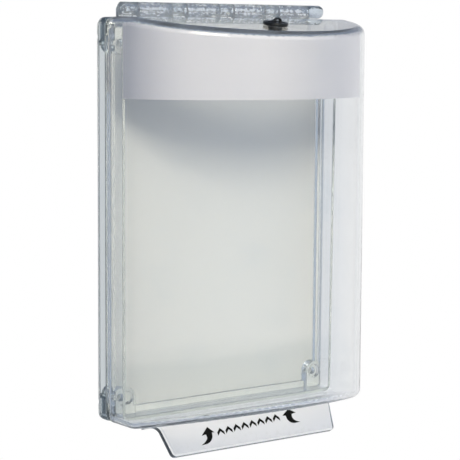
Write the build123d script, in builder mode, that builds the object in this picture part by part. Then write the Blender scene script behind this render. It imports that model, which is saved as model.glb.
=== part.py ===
"""Wall-mounted clear protective dome cover with a lift tab and a long top hinge.

X runs to the right, -Y comes out of the wall and Z is up. The origin lies on the wall,
at the centre of the four wall screws. All sizes are in millimetres.
"""

from build123d import *

import math
import os

# Outline that the box, the frame and the cover share
cover_width = 163.0
cover_height = 236.0
corner_radius = 5.5
least_radius = 0.5

# Back box and its panel
box_depth = 9.0
box_wall = 3.0
panel_thickness = 3.0
panel_fit = 0.1
notch_radius = 1.2
notch_depth = 0.6
notch_inset = 11.4

# Seal cords in their grooves, and the hair of air that keeps close-set faces apart
seal_width = 1.4
seal_depth = 1.2
close_fit = 0.05

# Wall screws, in from the outline's edges, and the bosses that they pass through
screw_inset_x = 10.3
screw_inset_z = 15.0
screw_hole_radius = 2.25
screw_head_radius = 4.2
screw_head_depth = 2.5
boss_radius = 6.5
boss_height = 6.0
rib_thickness = 2.4

# Mounting frame: a flange against the box, whose lip holds the panel, and a wall that the
# cover closes over
flange_thickness = 3.0
frame_reach = 12.0
frame_wall = 2.0
lip_side = 2.0
lip_end = 3.8

# Dome: side walls out to side_depth, then tight side arcs and a long front arc
dome_wall = 3.0
skirt_gap = 0.3
side_gap = 0.4
side_depth = 31.0
side_sweep = 42.0
front_rise = 14.0
top_drop = 8.5
bottom_rise = 12.3
skirt_bend = 25.0

# Hinge along the top: frame knuckles, wider cover knuckles and the head of the pin
hinge_margin = 7.0
hinge_radius = 4.0
hinge_clear = 0.5
hinge_setback = 2.0
knuckle_pairs = 4
frame_knuckle = 10.0
knuckle_gap = 0.4
web_flare = 0.75
pin_radius = 1.5
pin_play = 0.05
pin_blind = 2.0
pin_head_length = 13.0

# Lift tab under the dome
tab_side_margin = 17.5
tab_taper = 3.6
tab_length = 19.7
tab_thickness = 3.0
tab_lean = 32.0
tab_setback = 6.0
tab_root = 2.4
tab_flare = 5.0
tab_corner = 3.0

# Films: the band inside the dome's top and the film on the tab
band_height = 46.2
band_clear = 1.0
band_thickness = 0.6
film_gap = 0.05
tab_film_thickness = 0.3
tab_film_margin = 1.4

# Rubber plug in the top of the dome, with its pull loop
plug_setback = 25.0
plug_disc_radius = 7.3
plug_disc_thickness = 2.2
plug_edge = 0.5
plug_seat_gap = 0.1
plug_stem_radius = 4.2
plug_stem_length = 6.0
plug_play = 0.05
loop_radius = 2.7
loop_hole_radius = 1.2
loop_offset = 1.1
loop_rise = 1.1
loop_thickness = 2.2
loop_sink = 0.4
loop_tail = 5.4
loop_tail_height = 0.9

# Depths from the wall and places that follow from the sizes above
panel_rear = box_depth - panel_thickness
flange_front = box_depth + flange_thickness
frame_front = flange_front + frame_reach
skirt_rear = flange_front + skirt_gap
bulge = side_sweep + front_rise
dome_front = side_depth + bulge
half_width = cover_width / 2
half_height = cover_height / 2
screw_pitch_x = cover_width - 2 * screw_inset_x
screw_pitch_z = cover_height - 2 * screw_inset_z
box_inner_width = cover_width - 2 * box_wall
box_inner_height = cover_height - 2 * box_wall
box_inner_corner = max(corner_radius - box_wall, least_radius)
frame_outer_width = cover_width - 2 * (dome_wall + side_gap)
frame_outer_height = cover_height - 2 * (dome_wall + side_gap)
frame_inner_width = frame_outer_width - 2 * frame_wall
frame_inner_height = frame_outer_height - 2 * frame_wall
frame_inner_corner = max(corner_radius - dome_wall, least_radius)
hinge_left = -half_width + hinge_margin
hinge_depth = flange_front + hinge_setback
hinge_z = half_height + hinge_radius + hinge_clear
hinge_length = cover_width - 2 * hinge_margin
knuckle_pitch = (hinge_length - pin_head_length) / knuckle_pairs
cover_knuckle = knuckle_pitch - frame_knuckle - 2 * knuckle_gap
tab_root_half = half_width - tab_side_margin
tab_tip_half = tab_root_half - tab_taper
plug_depth = dome_front - plug_setback


def top_height(depth):
    """Height of the dome's sloping top face at a depth in front of its side walls."""
    return half_height - top_drop * (depth - side_depth) / bulge


def plan_outline(inset):
    """Outline of the dome seen from above, moved inwards: straight sides, a tight arc
    at each side and one long arc across the front, all tangent to each other."""
    reach = half_width - side_sweep
    spread = (reach**2 + front_rise * (bulge + side_sweep)) / (2 * front_rise)
    turn = math.atan2(reach, spread - bulge)
    centre_y = -side_depth
    front_y = -dome_front + spread
    side = half_width - inset
    radius = side_sweep - inset
    meet_x = reach + radius * math.sin(turn)
    meet_y = centre_y - radius * math.cos(turn)
    half = turn + (math.pi / 2 - turn) / 2
    mid_x = reach + radius * math.sin(half)
    mid_y = centre_y - radius * math.cos(half)
    tip_y = front_y - (spread - inset)
    Line((-side, -skirt_rear), (-side, centre_y))
    ThreePointArc((-side, centre_y), (-mid_x, mid_y), (-meet_x, meet_y))
    ThreePointArc((-meet_x, meet_y), (0, tip_y), (meet_x, meet_y))
    ThreePointArc((meet_x, meet_y), (mid_x, mid_y), (side, centre_y))
    Line((side, centre_y), (side, -skirt_rear))
    Line((side, -skirt_rear), (-side, -skirt_rear))


def side_outline(inset):
    """Outline of the dome seen from its side, moved inwards: the top falls and the
    bottom rises from the side walls to the front, each with a soft bend."""
    top = half_height - inset
    bottom = -half_height + inset
    FilletPolyline(
        (-skirt_rear, top),
        (-side_depth, top),
        (-dome_front, top - top_drop),
        radius=skirt_bend,
    )
    Line((-dome_front, top - top_drop), (-dome_front, bottom + bottom_rise))
    FilletPolyline(
        (-dome_front, bottom + bottom_rise),
        (-side_depth, bottom),
        (-skirt_rear, bottom),
        radius=skirt_bend,
    )
    Line((-skirt_rear, bottom), (-skirt_rear, top))


def dome_body(inset):
    """Solid that the dome fills, moved inwards by the inset, with its rim edges rounded."""
    with BuildPart() as body:
        with BuildSketch(Plane.XY.offset(-half_height)):
            with BuildLine():
                plan_outline(inset)
            make_face()
        extrude(amount=cover_height)
        with BuildSketch(Plane.YZ):
            with BuildLine():
                side_outline(inset)
            make_face()
        extrude(amount=half_width, both=True, mode=Mode.INTERSECT)
        fillet(body.edges().filter_by(is_rim), radius=max(corner_radius - inset, least_radius))
    return body.part


def is_rim(edge):
    """Whether an edge runs along the top or bottom rim and not up a side or at the rear."""
    low = edge.bounding_box().min
    high = edge.bounding_box().max
    upright = high.Z - low.Z > cover_height / 2
    at_rear = low.Y > -skirt_rear - 0.01
    across = high.X - low.X > half_width and abs(low.Y - high.Y) < 0.01
    return not (upright or at_rear or across)


def corner_bosses(wall_x, wall_z):
    """A round boss at each screw, with a web as wide as itself to the top or bottom wall and
    a rib to the side wall."""
    reach_x = wall_x - screw_pitch_x / 2
    reach_z = wall_z - screw_pitch_z / 2
    screw_pattern(boss_radius)
    with GridLocations(screw_pitch_x + reach_x, screw_pitch_z, 2, 2):
        Rectangle(reach_x, rib_thickness)
    with GridLocations(screw_pitch_x, screw_pitch_z + reach_z, 2, 2):
        Rectangle(2 * boss_radius, reach_z)


def screw_pattern(radius):
    """One circle at each wall screw."""
    with GridLocations(screw_pitch_x, screw_pitch_z, 2, 2):
        Circle(radius)


def seal_ring(width):
    """Path of a seal cord or its groove in the middle of the box rim, as a flat ring."""
    middle = box_wall / 2
    outer = middle - width / 2
    inner = middle + width / 2
    RectangleRounded(cover_width - 2 * outer, cover_height - 2 * outer, corner_radius - outer)
    RectangleRounded(
        cover_width - 2 * inner,
        cover_height - 2 * inner,
        corner_radius - inner,
        mode=Mode.SUBTRACT,
    )


def make_back_box():
    """Clear rim that stands on the wall, with a boss in each corner, a seal groove in both
    faces and two small notches in each side."""
    groove_width = seal_width + 2 * close_fit
    groove_depth = seal_depth + close_fit
    with BuildPart() as back_box:
        with BuildSketch(Plane.XZ):
            RectangleRounded(cover_width, cover_height, corner_radius)
            RectangleRounded(box_inner_width, box_inner_height, box_inner_corner, mode=Mode.SUBTRACT)
        extrude(amount=box_depth)
        with BuildSketch(Plane.XZ):
            corner_bosses(box_inner_width / 2, box_inner_height / 2)
        extrude(amount=panel_rear)
        with BuildSketch(Plane.XZ):
            screw_pattern(screw_hole_radius)
        extrude(amount=panel_rear, mode=Mode.SUBTRACT)
        with BuildSketch(Plane.XZ):
            seal_ring(groove_width)
        extrude(amount=groove_depth, mode=Mode.SUBTRACT)
        with BuildSketch(Plane.XZ.offset(box_depth)):
            seal_ring(groove_width)
        extrude(amount=-groove_depth, mode=Mode.SUBTRACT)
        with Locations(Plane.XZ):
            with GridLocations(cover_width, cover_height - 2 * notch_inset, 2, 2):
                Cylinder(notch_radius, 2 * notch_depth, rotation=(0, 90, 0), mode=Mode.SUBTRACT)
    back_box.part.label = "back_box"
    export_step(back_box.part, "parts/back_box.step")


def make_back_panel():
    """Opal sheet in the mouth of the back box: it rests on the box's bosses, and the lip of
    the frame's flange holds it down."""
    with BuildPart() as back_panel:
        with BuildSketch(Plane.XZ.offset(panel_rear)):
            RectangleRounded(
                box_inner_width - 2 * panel_fit,
                box_inner_height - 2 * panel_fit,
                box_inner_corner,
            )
            with GridLocations(screw_pitch_x, screw_pitch_z, 2, 2):
                Circle(screw_hole_radius, mode=Mode.SUBTRACT)
        extrude(amount=panel_thickness)
    back_panel.part.label = "back_panel"
    export_step(back_panel.part, "parts/back_panel.step")


def make_seal(name, rear_depth):
    """Soft clear cord that fills a groove of the box rim, its rear face at the given depth."""
    with BuildPart() as seal:
        with BuildSketch(Plane.XZ.offset(rear_depth)):
            seal_ring(seal_width)
        extrude(amount=seal_depth)
    seal.part.label = name
    export_step(seal.part, f"parts/{name}.step")


def make_mounting_frame():
    """Clear frame in front of the box: flange, upstanding wall, bosses and hinge knuckles."""
    rear = box_depth + close_fit
    boss_front = box_depth + boss_height
    with BuildPart() as frame:
        with BuildSketch(Plane.XZ.offset(rear)):
            RectangleRounded(cover_width, cover_height, corner_radius)
            RectangleRounded(
                frame_inner_width - 2 * lip_side,
                frame_inner_height - 2 * lip_end,
                frame_inner_corner,
                mode=Mode.SUBTRACT,
            )
        extrude(amount=flange_front - rear)
        with BuildSketch(Plane.XZ.offset(flange_front)):
            RectangleRounded(frame_outer_width, frame_outer_height, frame_inner_corner + frame_wall)
            RectangleRounded(frame_inner_width, frame_inner_height, frame_inner_corner, mode=Mode.SUBTRACT)
        extrude(amount=frame_reach)
        with BuildSketch(Plane.XZ.offset(rear)):
            corner_bosses(frame_outer_width / 2 - frame_wall / 2, frame_outer_height / 2 - frame_wall / 2)
        extrude(amount=boss_front - rear)
        for place in range(knuckle_pairs):
            with BuildSketch(Plane.YZ.offset(hinge_left + place * knuckle_pitch)):
                with BuildLine():
                    frame_knuckle_web()
                make_face()
                with Locations((-hinge_depth, hinge_z)):
                    Circle(hinge_radius)
            extrude(amount=frame_knuckle)
        with BuildSketch(Plane.XZ.offset(rear)):
            screw_pattern(screw_hole_radius)
        extrude(amount=boss_height, mode=Mode.SUBTRACT)
        with BuildSketch(Plane.XZ.offset(boss_front)):
            screw_pattern(screw_head_radius)
        extrude(amount=-screw_head_depth, mode=Mode.SUBTRACT)
        with BuildSketch(Plane.YZ.offset(hinge_left + pin_blind)):
            with Locations((-hinge_depth, hinge_z)):
                Circle(pin_radius + pin_play)
        extrude(amount=knuckle_pairs * knuckle_pitch, mode=Mode.SUBTRACT)
    frame.part.label = "mounting_frame"
    export_step(frame.part, "parts/mounting_frame.step")


def frame_knuckle_web():
    """Outline of the web that rises from the flange to a frame knuckle's barrel."""
    slope = hinge_radius * math.cos(math.pi / 4)
    Polyline(
        (-flange_front, half_height - flange_thickness),
        (-box_depth - close_fit, half_height - flange_thickness),
        (-box_depth - close_fit, hinge_z),
        (-hinge_depth + slope, hinge_z + slope),
        (-hinge_depth, hinge_z),
        (-flange_front, hinge_z - hinge_setback),
        close=True,
    )


def cover_knuckle_web():
    """Outline of the web that drops from a cover knuckle's barrel into the dome's top."""
    root = half_height - dome_wall / 2
    Polyline(
        (-hinge_depth, root),
        (-hinge_depth - hinge_radius - web_flare, root),
        (-hinge_depth - hinge_radius, hinge_z),
        (-hinge_depth, hinge_z),
        close=True,
    )


def tab_plane():
    """Plane of the tab's front face: its Y runs up the tab, and its origin is at the root."""
    lean = math.radians(tab_lean)
    root_depth = side_depth + tab_setback
    root_z = -half_height + bottom_rise * tab_setback / bulge
    return Plane(
        origin=(0, -root_depth, root_z),
        x_dir=(1, 0, 0),
        z_dir=(0, -math.cos(lean), math.sin(lean)),
    )


def plug_plane():
    """Plane that touches the dome's top face where the plug sits, facing outwards."""
    return Plane(
        origin=(0, -plug_depth, top_height(plug_depth)),
        x_dir=(1, 0, 0),
        z_dir=(0, -top_drop, bulge),
    )


def make_dome_cover():
    """Clear one-piece dome with its skirt, four hinge knuckles and the lift tab."""
    with BuildPart() as dome:
        add(dome_body(0))
        add(dome_body(dome_wall), mode=Mode.SUBTRACT)
        for place in range(knuckle_pairs):
            start = hinge_left + place * knuckle_pitch + frame_knuckle + knuckle_gap
            with BuildSketch(Plane.YZ.offset(start)):
                with BuildLine():
                    cover_knuckle_web()
                make_face()
                with Locations((-hinge_depth, hinge_z)):
                    Circle(hinge_radius)
            extrude(amount=cover_knuckle)
        with BuildSketch(Plane.YZ.offset(hinge_left)):
            with Locations((-hinge_depth, hinge_z)):
                Circle(pin_radius + pin_play)
        extrude(amount=knuckle_pairs * knuckle_pitch, mode=Mode.SUBTRACT)
        with BuildSketch(tab_plane()) as tab:
            with BuildLine():
                Polyline(
                    (-tab_root_half - 2 * tab_flare, tab_root),
                    (-tab_root_half - 2 * tab_flare, 0),
                    (-tab_root_half, 0),
                    (-tab_tip_half, -tab_length),
                    (tab_tip_half, -tab_length),
                    (tab_root_half, 0),
                    (tab_root_half + 2 * tab_flare, 0),
                    (tab_root_half + 2 * tab_flare, tab_root),
                    close=True,
                )
            make_face()
            fillet(tab.vertices().group_by(Axis.Y)[0], radius=tab_corner)
            root_row = tab.vertices().group_by(Axis.Y)[-2].sort_by(Axis.X)
            fillet(root_row[1:3], radius=tab_flare)
        extrude(amount=-tab_thickness)
        with BuildSketch(plug_plane()):
            Circle(plug_stem_radius + plug_play)
        extrude(amount=dome_wall, both=True, mode=Mode.SUBTRACT)
    dome.part.label = "dome_cover"
    export_step(dome.part, "parts/dome_cover.step")


def make_label_band():
    """Translucent film that lines the upper part of the dome, up to its ceiling."""
    outer = dome_wall + film_gap
    with BuildPart() as band:
        add(dome_body(outer))
        with BuildSketch(Plane.XY.offset(-half_height)):
            with BuildLine():
                plan_outline(outer + band_thickness)
            make_face()
        extrude(amount=cover_height, mode=Mode.SUBTRACT)
        with BuildSketch(Plane.XY.offset(-half_height)):
            with Locations((0, -dome_front / 2)):
                Rectangle(cover_width, dome_front)
        extrude(amount=cover_height - band_height, mode=Mode.SUBTRACT)
        with BuildSketch(Plane.XZ):
            Rectangle(cover_width, cover_height)
        extrude(amount=frame_front + band_clear, mode=Mode.SUBTRACT)
    band.part.label = "label_band"
    export_step(band.part, "parts/label_band.step")


def make_tab_film():
    """White film on the front face of the lift tab, with a margin all round."""
    with BuildPart() as film:
        with BuildSketch(tab_plane().offset(film_gap)) as outline:
            with BuildLine():
                Polyline(
                    (-tab_root_half + tab_film_margin, -tab_film_margin),
                    (-tab_tip_half + tab_film_margin, -tab_length + tab_film_margin),
                    (tab_tip_half - tab_film_margin, -tab_length + tab_film_margin),
                    (tab_root_half - tab_film_margin, -tab_film_margin),
                    close=True,
                )
            make_face()
            low_corner = max(tab_corner - tab_film_margin, least_radius)
            fillet(outline.vertices().group_by(Axis.Y)[0], radius=low_corner)
        extrude(amount=tab_film_thickness)
    film.part.label = "tab_film"
    export_step(film.part, "parts/tab_film.step")


def make_hinge_pin():
    """Clear rod through all the knuckles, with a round-nosed head at its right end."""
    start = hinge_left + pin_blind + knuckle_gap
    shoulder = hinge_left + knuckle_pairs * knuckle_pitch
    nose = shoulder + pin_head_length
    arc = math.cos(math.pi / 4) * hinge_radius
    centre = (0, -hinge_depth, hinge_z)
    with BuildPart() as pin:
        with BuildSketch(Plane(origin=centre, x_dir=(1, 0, 0), z_dir=(0, -1, 0))):
            with BuildLine():
                Polyline(
                    (nose, 0),
                    (start, 0),
                    (start, pin_radius),
                    (shoulder, pin_radius),
                    (shoulder, hinge_radius),
                    (nose - hinge_radius, hinge_radius),
                )
                ThreePointArc(
                    (nose - hinge_radius, hinge_radius),
                    (nose - hinge_radius + arc, arc),
                    (nose, 0),
                )
            make_face()
        revolve(axis=Axis(centre, (1, 0, 0)))
    pin.part.label = "hinge_pin"
    export_step(pin.part, "parts/hinge_pin.step")


def make_top_plug():
    """Black rubber plug: a disc on the dome's top, a stem through it and a small pull loop."""
    seat = plug_plane()
    upright = Plane(origin=seat.origin, x_dir=seat.x_dir, z_dir=-seat.y_dir)
    disc_top = plug_seat_gap + plug_disc_thickness
    loop_z = disc_top + loop_rise
    foot = disc_top - loop_sink
    with BuildPart() as plug:
        with BuildSketch(seat.offset(plug_seat_gap)):
            Circle(plug_disc_radius)
        extrude(amount=plug_disc_thickness)
        fillet(plug.edges().filter_by(GeomType.CIRCLE), radius=plug_edge)
        with BuildSketch(seat.offset(plug_seat_gap)):
            Circle(plug_stem_radius)
        extrude(amount=-plug_stem_length)
        with BuildSketch(upright):
            with BuildLine():
                Polyline(
                    (-loop_tail, foot),
                    (-loop_tail, disc_top + loop_tail_height),
                    (loop_offset - loop_radius / 2, loop_z + loop_radius / 2),
                    (loop_offset, foot),
                    close=True,
                )
            make_face()
            with Locations((loop_offset, loop_z)):
                Circle(loop_radius)
            with Locations((loop_offset, foot - loop_radius)):
                Rectangle(4 * loop_radius, 2 * loop_radius, mode=Mode.SUBTRACT)
            with Locations((loop_offset, loop_z)):
                Circle(loop_hole_radius, mode=Mode.SUBTRACT)
        extrude(amount=loop_thickness / 2, both=True)
    plug.part.label = "top_plug"
    export_step(plug.part, "parts/top_plug.step")


os.makedirs("parts", exist_ok=True)
make_back_box()
make_back_panel()
make_seal("wall_seal", 0)
make_seal("frame_seal", box_depth - seal_depth)
make_mounting_frame()
make_hinge_pin()
make_dome_cover()
make_label_band()
make_tab_film()
make_top_plug()
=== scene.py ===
import bmesh
import bpy
import math
from mathutils import Matrix, Vector


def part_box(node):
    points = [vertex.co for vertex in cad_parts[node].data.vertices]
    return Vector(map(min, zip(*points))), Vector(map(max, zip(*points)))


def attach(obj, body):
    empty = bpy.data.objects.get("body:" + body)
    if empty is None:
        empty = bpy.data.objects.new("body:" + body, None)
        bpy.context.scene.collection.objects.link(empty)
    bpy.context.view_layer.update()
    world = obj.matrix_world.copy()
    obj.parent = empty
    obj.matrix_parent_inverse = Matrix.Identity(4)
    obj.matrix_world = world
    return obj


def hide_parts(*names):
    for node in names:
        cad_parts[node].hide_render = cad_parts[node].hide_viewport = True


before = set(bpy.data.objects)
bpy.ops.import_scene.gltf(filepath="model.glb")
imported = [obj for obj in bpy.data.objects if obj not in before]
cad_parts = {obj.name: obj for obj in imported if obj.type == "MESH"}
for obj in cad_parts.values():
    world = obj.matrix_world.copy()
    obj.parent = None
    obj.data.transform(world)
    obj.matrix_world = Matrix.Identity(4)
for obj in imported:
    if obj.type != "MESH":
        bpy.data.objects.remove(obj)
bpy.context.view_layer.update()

# Camera: a long lens to the left of the cover and a little above it, rolled a hair, as the
# cover is seen in the picture.
camera_turn = math.radians(36.7)
camera_tilt = math.radians(6.33)
camera_roll = math.radians(-0.29)
camera_aim = Vector((0.0145, 0, -0.0111))
camera_distance = 1.039
forward = Vector((
    math.sin(camera_turn) * math.cos(camera_tilt),
    math.cos(camera_turn) * math.cos(camera_tilt),
    -math.sin(camera_tilt),
))
level = Vector((math.cos(camera_turn), -math.sin(camera_turn), 0))
upright = level.cross(forward)
rightward = level * math.cos(camera_roll) - upright * math.sin(camera_roll)
upward = level * math.sin(camera_roll) + upright * math.cos(camera_roll)
lens = bpy.data.cameras.new("camera")
lens.sensor_width = 36
lens.lens = 132.1
lens.clip_start = 0.05
lens.clip_end = 50
camera = bpy.data.objects.new("camera", lens)
camera.matrix_world = Matrix.Translation(camera_aim - forward * camera_distance) @ Matrix((
    (rightward.x, upward.x, -forward.x, 0),
    (rightward.y, upward.y, -forward.y, 0),
    (rightward.z, upward.z, -forward.z, 0),
    (0, 0, 0, 1),
))
scene = bpy.context.scene
scene.collection.objects.link(camera)
scene.camera = camera


# Back box: the clear rim that stands on the wall, injection moulded in polycarbonate, with a
# screw boss in each corner. Its walls are polished, with the faint swirl of the melt in them,
# and look blue-grey where the plastic is seen edge on.
moulded_tint = (0.70, 0.75, 0.77)
hinge_foot = 0.118
hinge_blend = 0.0015
knuckle_lumps = 0.0014
sharp_edge = math.radians(35)
shading_crease = math.radians(50)
air_gap = 0.00003


class Finish:
    """A socket of a material: operators on it add Math nodes, and node() adds any other."""

    def __init__(self, tree, socket=None):
        self.tree = tree
        self.socket = socket

    def node(self, kind, settings, sockets, output=0):
        made = self.tree.nodes.new(kind)
        for name, value in settings.items():
            setattr(made, name, value)
        for name, value in sockets.items():
            if isinstance(value, Finish):
                self.tree.links.new(value.socket, made.inputs[name])
            else:
                made.inputs[name].default_value = value
        return Finish(self.tree, made.outputs[output] if made.outputs else None)

    def maths(self, operation, first, second):
        return self.node("ShaderNodeMath", {"operation": operation}, {0: first, 1: second})

    def __add__(self, other):
        return self.maths("ADD", self, other)

    def __radd__(self, other):
        return self.maths("ADD", other, self)

    def __rsub__(self, other):
        return self.maths("SUBTRACT", other, self)

    def __mul__(self, other):
        return self.maths("MULTIPLY", self, other)

    def __rmul__(self, other):
        return self.maths("MULTIPLY", other, self)


def new_finish(name):
    """An empty node material, the Finish that adds its nodes, and the places on the piece."""
    material = bpy.data.materials.new(name)
    material.use_nodes = True
    material.node_tree.nodes.clear()
    finish = Finish(material.node_tree)
    return material, finish, finish.node("ShaderNodeTexCoord", {}, {}, "Object")


def grain(place, scale, detail):
    """Cloudy variation from 0 to 1, of so many blotches a metre."""
    return place.node(
        "ShaderNodeTexNoise", {}, {"Vector": place, "Scale": scale, "Detail": detail}
    )


def stretched(place, scale):
    """Places on a piece, drawn out or squeezed along its axes."""
    return place.node("ShaderNodeMapping", {}, {"Vector": place, "Scale": scale})


def height(place):
    """How high a place is on the cover, in metres."""
    return place.node("ShaderNodeSeparateXYZ", {}, {"Vector": place}, "Z")


def soft_step(value, low, high):
    """A value's smooth rise from 0 at low to 1 at high."""
    return value.node(
        "ShaderNodeMapRange",
        {"interpolation_type": "SMOOTHSTEP"},
        {"Value": value, "From Min": low, "From Max": high},
    )


def mixed(factor, first, second):
    """A colour between two others."""
    return factor.node(
        "ShaderNodeMix", {"data_type": "RGBA"}, {0: factor, 6: first, 7: second}, 2
    )


def relief(rise, depth):
    """Normals of a surface with that relief, in metres from its low to its high places."""
    return rise.node(
        "ShaderNodeBump", {}, {"Strength": 1.0, "Distance": depth, "Height": rise}, "Normal"
    )


def clear_moulding(name, tint, density, swirl, haze):
    """Polished clear plastic: swirl is the depth of its melt lines, and haze is how much
    duller its handled patches are than the rest. The hinge knuckles, which side cores of the
    mould form, are lumpier."""
    material, finish, place = new_finish(name)
    flow = grain(stretched(place, (1.0, 1.0, 0.35)), 90.0, 2.0)
    ripple = grain(place, 260.0, 1.0)
    handled = soft_step(grain(place, 35.0, 4.0), 0.5, 0.75)
    specks = soft_step(grain(place, 2600.0, 0.0), 0.72, 0.8)
    knuckles = soft_step(height(place), hinge_foot, hinge_foot + hinge_blend)
    lumps = knuckles * grain(place, 230.0, 2.0) * (knuckle_lumps / swirl)
    plastic = finish.node(
        "ShaderNodeBsdfPrincipled",
        {},
        {
            "Base Color": mixed(handled, (0.985, 0.99, 1.0, 1), (0.95, 0.965, 0.985, 1)),
            "Roughness": 0.012 + haze * handled + 0.03 * specks,
            "IOR": 1.58,
            "Transmission Weight": 0.985,
            "Normal": relief(flow * 0.7 + ripple * 0.3 + lumps, swirl),
        },
    )
    depth = finish.node(
        "ShaderNodeVolumeAbsorption", {}, {"Color": (*tint, 1), "Density": density}
    )
    finish.node("ShaderNodeOutputMaterial", {}, {"Surface": plastic, "Volume": depth})
    return material


def rounded_moulding(node, name, body_name, material, edge_radius):
    """A copy of a moulding with its sharp edges rounded, as they come from the mould, and a
    hair of air between it and the pieces that it touches. Lamps shine straight through it."""
    body = bmesh.new()
    body.from_mesh(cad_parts[node].data)
    bmesh.ops.remove_doubles(body, verts=body.verts, dist=0.000001)
    sharp = [edge for edge in body.edges if edge.calc_face_angle() > sharp_edge]
    bmesh.ops.bevel(
        body, geom=sharp, offset=edge_radius, segments=2, profile=0.5, affect="EDGES",
        material=-1, clamp_overlap=False,
    )
    bmesh.ops.dissolve_degenerate(body, dist=0.000002, edges=body.edges)
    low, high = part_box(node)
    body.normal_update()
    for vert in body.verts:
        vert.co -= vert.normal * air_gap
        for axis in range(3):
            vert.co[axis] = min(max(vert.co[axis], low[axis]), high[axis])
    bmesh.ops.triangulate(body, faces=body.faces)
    mesh = bpy.data.meshes.new(name)
    body.to_mesh(mesh)
    mesh.shade_smooth()
    mesh.set_sharp_from_angle(angle=shading_crease)
    mesh.materials.append(material)
    piece = bpy.data.objects.new(name, mesh)
    scene.collection.objects.link(piece)
    weighted = piece.modifiers.new("weighted", "WEIGHTED_NORMAL")
    weighted.keep_sharp = True
    weighted.weight = 100
    piece.visible_shadow = False
    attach(piece, body_name)
    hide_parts(node)


box_plastic = clear_moulding(
    "clear_box", tint=moulded_tint, density=260.0, swirl=0.000001, haze=0.02
)
rounded_moulding(
    "back_box", "box_moulding", "base", box_plastic, edge_radius=0.0003
)


# Back panel: opal sheet, cut to the box's mouth and drilled for the screws. Its satin face is
# almost even, with a faint cloudiness and the fine orange peel of rolled sheet. Low down it has
# painted shade, in faint streaks, where the dome's bottom wall keeps light from below off it.
low_shade_top = 0.05
low_shade_full = 0.032


def dress(node, material, lets_light_through):
    """Gives a CAD node its finish. Lamps shine straight through the clear ones."""
    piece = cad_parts[node]
    piece.material_slots[0].material = material
    piece.visible_shadow = not lets_light_through


opal_panel, finish, place = new_finish("opal_panel")
cloud = grain(place, 14.0, 4.0)
peel = grain(place, 700.0, 2.0)
rubbed = soft_step(grain(place, 45.0, 5.0), 0.45, 0.7)
streaks = grain(stretched(place, (0.25, 0.25, 1.6)), 40.0, 3.0)
sheet_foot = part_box("back_panel")[0].z
# Painted shade: the sheet's colour darkens towards its foot, in streaks, in place of the shade
# of the dome's bottom wall.
painted_low_shade = soft_step(
    height(place) + 0.02 * streaks, sheet_foot + low_shade_top, sheet_foot + low_shade_full
)
clean_sheet = mixed(cloud, (0.80, 0.815, 0.81, 1), (0.83, 0.84, 0.83, 1))
sheet = finish.node(
    "ShaderNodeBsdfPrincipled",
    {},
    {
        "Base Color": mixed(painted_low_shade * (0.75 + 0.4 * streaks), clean_sheet, (0.67, 0.70, 0.70, 1)),
        "Roughness": 0.42 + 0.1 * rubbed + 0.05 * peel,
        "IOR": 1.49,
        "Normal": relief(peel, 0.00003),
    },
)
finish.node("ShaderNodeOutputMaterial", {}, {"Surface": sheet})
dress("back_panel", opal_panel, lets_light_through=False)


# Seal cords: soft clear silicone in the grooves of the box, against the wall and under the
# frame. The extruded cord is nearly clear, with a little dust on it and a skin that varies
# slightly along its length.
clear_silicone, finish, place = new_finish("clear_silicone")
draw = grain(place, 200.0, 2.0)
dust = soft_step(grain(place, 1800.0, 2.0), 0.6, 0.75)
cord = finish.node(
    "ShaderNodeBsdfPrincipled",
    {},
    {
        "Base Color": mixed(dust, (0.95, 0.96, 0.965, 1), (0.88, 0.89, 0.90, 1)),
        "Roughness": 0.2 + 0.03 * draw,
        "IOR": 1.41,
        "Transmission Weight": 0.8,
        "Normal": relief(draw, 0.000001),
    },
)
finish.node("ShaderNodeOutputMaterial", {}, {"Surface": cord})
dress("wall_seal", clear_silicone, lets_light_through=True)
dress("frame_seal", clear_silicone, lets_light_through=True)


# Mounting frame and hinge pin: the same clear polycarbonate. The frame is moulded as the box
# is, and the pin is a drawn rod with a lumpier skin, pushed in from the right.
frame_plastic = clear_moulding(
    "clear_frame", tint=moulded_tint, density=50.0, swirl=0.000001, haze=0.02
)
rounded_moulding(
    "mounting_frame", "frame_moulding", "base", frame_plastic, edge_radius=0.0003
)
pin_plastic = clear_moulding(
    "clear_pin", tint=(0.62, 0.71, 0.80), density=110.0, swirl=0.00012, haze=0.06
)
dress("hinge_pin", pin_plastic, lets_light_through=True)


# Dome cover: one large clear moulding that lifts on the hinge. Its broad front is clean and
# bright, with only faint melt lines.
dome_plastic = clear_moulding(
    "clear_dome", tint=(0.73, 0.76, 0.79), density=42.0, swirl=0.0000015, haze=0.02
)
rounded_moulding(
    "dome_cover", "dome_moulding", "cover", dome_plastic, edge_radius=0.0004
)


# Label band: a pale, translucent film that lines the dome's top, left blank. It has a fine
# grain and faint streaks from side to side, as calendered film has.
band_film, finish, place = new_finish("band_film")
streaks = grain(stretched(place, (0.15, 0.15, 2.0)), 220.0, 3.0)
pebble = grain(place, 1500.0, 2.0)
band = finish.node(
    "ShaderNodeBsdfPrincipled",
    {},
    {
        "Base Color": mixed(streaks, (0.75, 0.75, 0.82, 1), (0.79, 0.79, 0.85, 1)),
        "Roughness": 0.5 + 0.15 * pebble,
        "IOR": 1.45,
        "Transmission Weight": 0.3,
        "Normal": relief(pebble, 0.00003),
    },
)
finish.node("ShaderNodeOutputMaterial", {}, {"Surface": band})
dress("label_band", band_film, lets_light_through=False)


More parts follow.
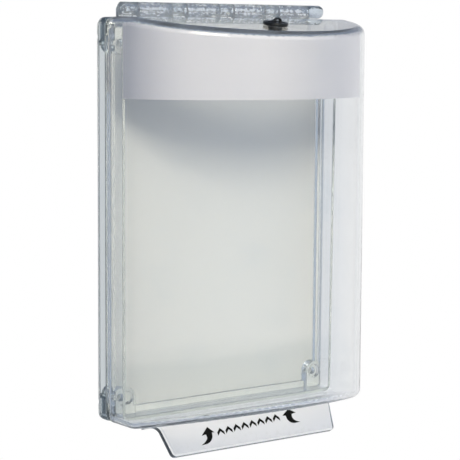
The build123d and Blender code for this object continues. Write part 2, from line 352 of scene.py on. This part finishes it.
# Tab film: white film on the front of the lift tab, cut with rounded lower corners. It is a
# little worn at its low edge, where thumbs catch it.
thumbed_height = 0.009
white_film, finish, place = new_finish("white_film")
film_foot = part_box("tab_film")[0].z
scuffs = soft_step(grain(place, 380.0, 5.0), 0.48, 0.72)
above_thumbs = soft_step(height(place), film_foot, film_foot + thumbed_height)
thumbed = (1 - above_thumbs) * scuffs
pebble = grain(place, 1500.0, 2.0)
paper = finish.node(
    "ShaderNodeBsdfPrincipled",
    {},
    {
        "Base Color": mixed(thumbed, (0.76, 0.77, 0.82, 1), (0.72, 0.73, 0.77, 1)),
        "Roughness": 0.42 + 0.12 * pebble + 0.2 * thumbed,
        "IOR": 1.45,
        "Normal": relief(pebble, 0.00003),
    },
)
finish.node("ShaderNodeOutputMaterial", {}, {"Surface": paper})
dress("tab_film", white_film, lets_light_through=False)


# Lift marks: black ink screen printed on the tab film, a curved-tail arrow at each end and a
# row of plain chevrons between them, all pointing up the tab. They are drawn in millimetres
# on the tab's own plane.
tab_lean = math.radians(32)
tab_foot = Vector((0, -0.037, -0.11668))
film_thickness = 0.0003
film_gap = 0.00005
print_gap = 0.00003
ink_thickness = 0.04
tab_out = Vector((0, -math.cos(tab_lean), math.sin(tab_lean)))
tab_up = Vector((0, math.sin(tab_lean), math.cos(tab_lean)))
print_foot = tab_foot + tab_out * (film_thickness + film_gap + print_gap)
millimetres = Matrix.Scale(0.001, 4)
on_tab = Matrix((
    (1, 0, tab_out.x, print_foot.x),
    (0, tab_up.y, tab_out.y, print_foot.y),
    (0, tab_up.z, tab_out.z, print_foot.z),
    (0, 0, 0, 1),
)) @ millimetres
printed_ink, finish, place = new_finish("printed_ink")
mesh_marks = grain(place, 2400.0, 2.0)
thin = soft_step(grain(place, 600.0, 3.0), 0.6, 0.8)
printed = finish.node(
    "ShaderNodeBsdfPrincipled",
    {},
    {
        "Base Color": mixed(thin, (0.005, 0.005, 0.005, 1), (0.02, 0.02, 0.022, 1)),
        "Roughness": 0.55 + 0.2 * mesh_marks,
        "Specular IOR Level": 0.12,
        "Normal": relief(mesh_marks, 0.00001),
    },
)
finish.node("ShaderNodeOutputMaterial", {}, {"Surface": printed})


def print_mark(name, mark, mesh):
    """Puts a mark that is drawn flat on the tab film, and lets it ride with the dome."""
    bmesh.ops.transform(mark, matrix=on_tab, verts=mark.verts)
    mark.to_mesh(mesh)
    mesh.materials.append(printed_ink)
    piece = bpy.data.objects.new(name, mesh)
    scene.collection.objects.link(piece)
    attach(piece, "cover")


def lift_arrow(name, corners):
    """Arrow with a curved tail, from the corners of its outline: a corner marked True is
    sharp, and the outline bends smoothly through the others."""
    outline = bpy.data.curves.new(name, "CURVE")
    outline.dimensions = "2D"
    outline.fill_mode = "BOTH"
    outline.extrude = ink_thickness / 2
    outline.resolution_u = 10
    line = outline.splines.new("BEZIER")
    line.use_cyclic_u = True
    line.bezier_points.add(len(corners) - 1)
    for point, (across, up, sharp) in zip(line.bezier_points, corners):
        point.co = (across, up, 0)
        point.handle_left_type = "VECTOR" if sharp else "AUTO"
        point.handle_right_type = "VECTOR" if sharp else "AUTO"
    drawn = bpy.data.objects.new(name, outline)
    mesh = bpy.data.meshes.new_from_object(drawn)
    bpy.data.objects.remove(drawn)
    arrow = bmesh.new()
    arrow.from_mesh(mesh)
    bmesh.ops.remove_doubles(arrow, verts=arrow.verts, dist=0.001)
    bmesh.ops.recalc_face_normals(arrow, faces=arrow.faces)
    mesh.materials.clear()
    print_mark(name, arrow, mesh)


lift_arrow("lift_arrow_left", (
    (-31.5, -5.3, True), (-27.6, -9.2, True), (-29.4, -9.1, True), (-30.3, -12.2, False),
    (-33.4, -14.9, False), (-39.5, -15.8, True), (-35.4, -13.6, False), (-33.9, -11.8, False),
    (-34.0, -9.7, True), (-37.2, -10.1, True),
))
lift_arrow("lift_arrow_right", (
    (30.5, -2.3, True), (24.7, -5.9, True), (27.1, -6.2, True), (27.6, -9.0, False),
    (30.2, -11.2, False), (36.4, -11.4, True), (32.6, -9.6, False), (31.6, -7.6, False),
    (32.0, -5.7, True), (35.4, -5.2, True),
))

chevron_count = 8
chevron_start = (-23.2, -9.6, 0)
chevron_pitch = 6.1
chevron_climb = 0.42
chevron_half = 2.5
chevron_rise = 2.5
chevron_stroke = 2.1
chevron_outline = (
    (0, chevron_rise), (-chevron_half, 0), (-chevron_half, -chevron_stroke),
    (0, chevron_rise - chevron_stroke), (chevron_half, -chevron_stroke), (chevron_half, 0),
)
row = bmesh.new()
flat = row.faces.new([row.verts.new((across, up, 0)) for across, up in chevron_outline])
raised = bmesh.ops.extrude_face_region(row, geom=[flat])["geom"]
top = [part for part in raised if isinstance(part, bmesh.types.BMVert)]
bmesh.ops.translate(row, verts=top, vec=(0, 0, ink_thickness))
first = row.verts[:] + row.edges[:] + row.faces[:]
for place_in_row in range(1, chevron_count):
    copy = bmesh.ops.duplicate(row, geom=first)["geom"]
    moved = [part for part in copy if isinstance(part, bmesh.types.BMVert)]
    step = (chevron_pitch * place_in_row, chevron_climb * place_in_row, 0)
    bmesh.ops.translate(row, verts=moved, vec=step)
bmesh.ops.translate(row, verts=row.verts, vec=chevron_start)
bmesh.ops.recalc_face_normals(row, faces=row.faces)
print_mark("lift_chevrons", row, bpy.data.meshes.new("lift_chevrons"))


# Top plug: black rubber, moulded in one with its pull loop. The disc has a raised lip and a
# ring groove, and the stem has two grip grooves. The rubber has a satin skin with dust on it.
# It is turned and bent up in millimetres, then set in the dome's top.
plug_out = Vector((0, -0.150067, 0.988676))
plug_back = Vector((0, 0.988676, 0.150067))
plug_place = Vector((0, -0.062, 0.113291))
in_dome = Matrix((
    (1, 0, 0, plug_place.x),
    (0, plug_back.y, plug_out.y, plug_place.y),
    (0, plug_back.z, plug_out.z, plug_place.z),
    (0, 0, 0, 1),
)) @ millimetres
plug_profile = (
    (0, 2.05), (3.6, 2.0), (5.0, 1.85), (5.3, 1.6), (5.7, 1.6), (6.0, 2.0), (6.4, 2.25),
    (6.9, 2.2), (7.2, 1.9), (7.3, 1.5), (7.3, 0.9), (7.15, 0.4), (6.7, 0.12), (6.0, 0.1),
    (4.15, 0.1), (4.15, -2.4), (3.8, -2.7), (3.8, -3.3), (4.15, -3.6), (4.15, -4.4),
    (3.8, -4.7), (3.8, -5.0), (4.05, -5.3), (3.6, -5.9), (0, -5.9),
)
loop_radius = 1.95
loop_section = (0.75, 1.08, 1)
loop_flattening = (1.12, 1, 0.78)
loop_centre = (1.1, 0, 2.75)
tail_size = (5.2, 2.1, 2.1)
tail_centre = (-2.75, 0, 2.6)
tail_low_end = 2.7
tail_high_end = 3.6
tail_rounding = 0.35
plug = bmesh.new()
path = [plug.verts.new((across, 0, up)) for across, up in plug_profile]
edges = [plug.edges.new(pair) for pair in zip(path, path[1:])]
bmesh.ops.spin(
    plug, geom=path + edges, axis=(0, 0, 1), cent=(0, 0, 0), steps=72,
    angle=math.tau, use_merge=True,
)
turned = set(plug.verts)
ring = bmesh.ops.create_circle(plug, segments=20, radius=1)["verts"]
bmesh.ops.scale(plug, verts=ring, vec=loop_section)
bmesh.ops.translate(plug, verts=ring, vec=(loop_radius, 0, 0))
ring_edges = list({edge for vert in ring for edge in vert.link_edges})
bmesh.ops.spin(
    plug, geom=ring + ring_edges, axis=(0, 1, 0), cent=(0, 0, 0), steps=48,
    angle=math.tau, use_merge=True,
)
loop = [vert for vert in plug.verts if vert not in turned]
bmesh.ops.scale(plug, verts=loop, vec=loop_flattening)
bmesh.ops.translate(plug, verts=loop, vec=loop_centre)
tail = bmesh.ops.create_cube(plug, size=1)["verts"]
bmesh.ops.scale(plug, verts=tail, vec=tail_size)
bmesh.ops.translate(plug, verts=tail, vec=tail_centre)
for vert in tail:
    if vert.co.z > tail_centre[2]:
        vert.co.z = tail_low_end if vert.co.x < tail_centre[0] else tail_high_end
tail_edges = list({edge for vert in tail for edge in vert.link_edges})
bmesh.ops.bevel(
    plug, geom=tail_edges, offset=tail_rounding, segments=3, profile=0.5, affect="EDGES",
    material=-1,
)
bmesh.ops.remove_doubles(plug, verts=plug.verts, dist=0.0005)
bmesh.ops.recalc_face_normals(plug, faces=plug.faces)
bmesh.ops.transform(plug, matrix=in_dome, verts=plug.verts)
black_rubber, finish, place = new_finish("black_rubber")
dust = soft_step(grain(place, 900.0, 4.0), 0.52, 0.72)
skin = grain(place, 2200.0, 2.0)
moulded = finish.node(
    "ShaderNodeBsdfPrincipled",
    {},
    {
        "Base Color": mixed(dust, (0.004, 0.005, 0.005, 1), (0.03, 0.03, 0.03, 1)),
        "Roughness": 0.25 + 0.15 * skin,
        "IOR": 1.5,
        "Normal": relief(skin, 0.00002),
    },
)
finish.node("ShaderNodeOutputMaterial", {}, {"Surface": moulded})
plug_mesh = bpy.data.meshes.new("rubber_plug")
plug.to_mesh(plug_mesh)
plug_mesh.shade_smooth()
plug_mesh.set_sharp_from_angle(angle=shading_crease)
plug_mesh.materials.append(black_rubber)
rubber_plug = bpy.data.objects.new("rubber_plug", plug_mesh)
scene.collection.objects.link(rubber_plug)
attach(rubber_plug, "plug")
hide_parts("top_plug")


# Studio: a white sweep behind the cover, and dimmer blue-grey surroundings in front of it and
# above. What is seen straight through the clear plastic is paler than what it reflects, as in
# a light tent. The backdrop itself is plain white.
straight_share = 0.35
studio = bpy.data.worlds.new("studio")
studio.use_nodes = True
studio.node_tree.nodes.clear()
studio.cycles.sampling_method = "NONE"
scene.world = studio
room = Finish(studio.node_tree)
way = room.node("ShaderNodeTexCoord", {}, {}, "Generated")
along = room.node(
    "ShaderNodeVectorMath",
    {"operation": "DOT_PRODUCT"},
    {0: way, 1: (forward.x, forward.y, 0)},
    "Value",
)
across = room.node(
    "ShaderNodeVectorMath", {"operation": "DOT_PRODUCT"}, {0: way, 1: level}, "Value"
)
behind = soft_step(along, 0.1, 0.75)
overhead = soft_step(height(way), 0.04, 0.4)
walls = mixed(soft_step(across, -0.2, 0.8), (0.21, 0.26, 0.34, 1), (0.47, 0.54, 0.64, 1))
lit_sweep = mixed(soft_step(across, -0.45, 0.1), (0.46, 0.50, 0.52, 1), (0.90, 0.90, 0.90, 1))
sweep = mixed(overhead, lit_sweep, (0.19, 0.23, 0.31, 1))
bounced = room.node("ShaderNodeLightPath", {}, {}, "Glossy Depth") + room.node(
    "ShaderNodeLightPath", {}, {}, "Diffuse Depth"
)
around = mixed(
    straight_share + (1 - straight_share) * bounced,
    (0.89, 0.89, 0.88, 1),
    mixed(behind, walls, sweep),
)
seen = room.node("ShaderNodeLightPath", {}, {}, "Is Camera Ray")
glow = room.node(
    "ShaderNodeBackground", {}, {"Color": mixed(seen, around, (1, 1, 1, 1)), "Strength": 1.0}
)
room.node("ShaderNodeOutputWorld", {}, {"Surface": glow})


# Lamps: one large warm softbox up to the left of the cover, whose reflection shows in it, and
# a plain lamp at each side that only lights it.
softbox_turn = math.radians(-24)
softbox_rise = math.radians(30)
side_turn = math.radians(86)


def lamp(name, size_across, size_up, energy, colour, way_out, distance, mirrored):
    """A soft area lamp that stands off that way from the wall and faces the cover."""
    light = bpy.data.lights.new(name, "AREA")
    light.shape = "RECTANGLE"
    light.size = size_across
    light.size_y = size_up
    light.energy = energy
    light.color = colour
    stand = bpy.data.objects.new(name, light)
    stand.location = way_out * distance
    stand.rotation_euler = way_out.to_track_quat("Z", "Y").to_euler()
    stand.visible_glossy = mirrored
    stand.visible_transmission = mirrored
    scene.collection.objects.link(stand)


softbox_way = Vector((
    math.sin(softbox_turn) * math.cos(softbox_rise),
    -math.cos(softbox_turn) * math.cos(softbox_rise),
    math.sin(softbox_rise),
))
lamp(
    "softbox", size_across=0.55, size_up=0.45, energy=10.5, colour=(1.0, 0.935, 0.77),
    way_out=softbox_way, distance=1.6, mirrored=True,
)
for name, side, energy in (("left_light", -1, 4.0), ("side_light", 1, 13.0)):
    side_way = Vector((side * math.sin(side_turn), -math.cos(side_turn), 0.1))
    lamp(
        name, size_across=0.6, size_up=0.6, energy=energy, colour=(0.95, 0.96, 1.0),
        way_out=side_way, distance=1.5, mirrored=False,
    )


# Floor: pale matt paint on a round floor well below the cover. It fades away at its rim, so
# that no edge shows behind the cover.
floor_drop = 0.75
floor_reach = 1.6
fade_start = 0.6
fade_end = 1.52
pale_floor, finish, place = new_finish("pale_floor")
distance = finish.node("ShaderNodeVectorMath", {"operation": "LENGTH"}, {0: place}, "Value")
mottle = grain(place, 3.0, 3.0)
floor_face = finish.node(
    "ShaderNodeBsdfPrincipled",
    {},
    {
        "Base Color": mixed(mottle, (0.70, 0.73, 0.76, 1), (0.74, 0.77, 0.80, 1)),
        "Roughness": 0.8,
    },
)
faded = finish.node("ShaderNodeBsdfTransparent", {}, {})
floor_edge = finish.node(
    "ShaderNodeMixShader",
    {},
    {0: soft_step(distance, fade_start, fade_end), 1: floor_face, 2: faded},
)
finish.node("ShaderNodeOutputMaterial", {}, {"Surface": floor_edge})
disc = bmesh.new()
bmesh.ops.create_circle(disc, segments=96, radius=floor_reach, cap_ends=True)
bmesh.ops.translate(disc, verts=disc.verts, vec=(0, 0, -floor_drop))
floor_mesh = bpy.data.meshes.new("floor")
disc.to_mesh(floor_mesh)
floor_mesh.materials.append(pale_floor)
floor = bpy.data.objects.new("floor", floor_mesh)
scene.collection.objects.link(floor)


# Light paths: light crosses up to a dozen clear walls and bounces inside them, so its paths
# are long.
scene.view_settings.view_transform = "Standard"
scene.cycles.max_bounces = 64
scene.cycles.transmission_bounces = 64
scene.cycles.transparent_max_bounces = 16
scene.cycles.glossy_bounces = 48
scene.cycles.diffuse_bounces = 6
scene.cycles.sample_clamp_indirect = 10
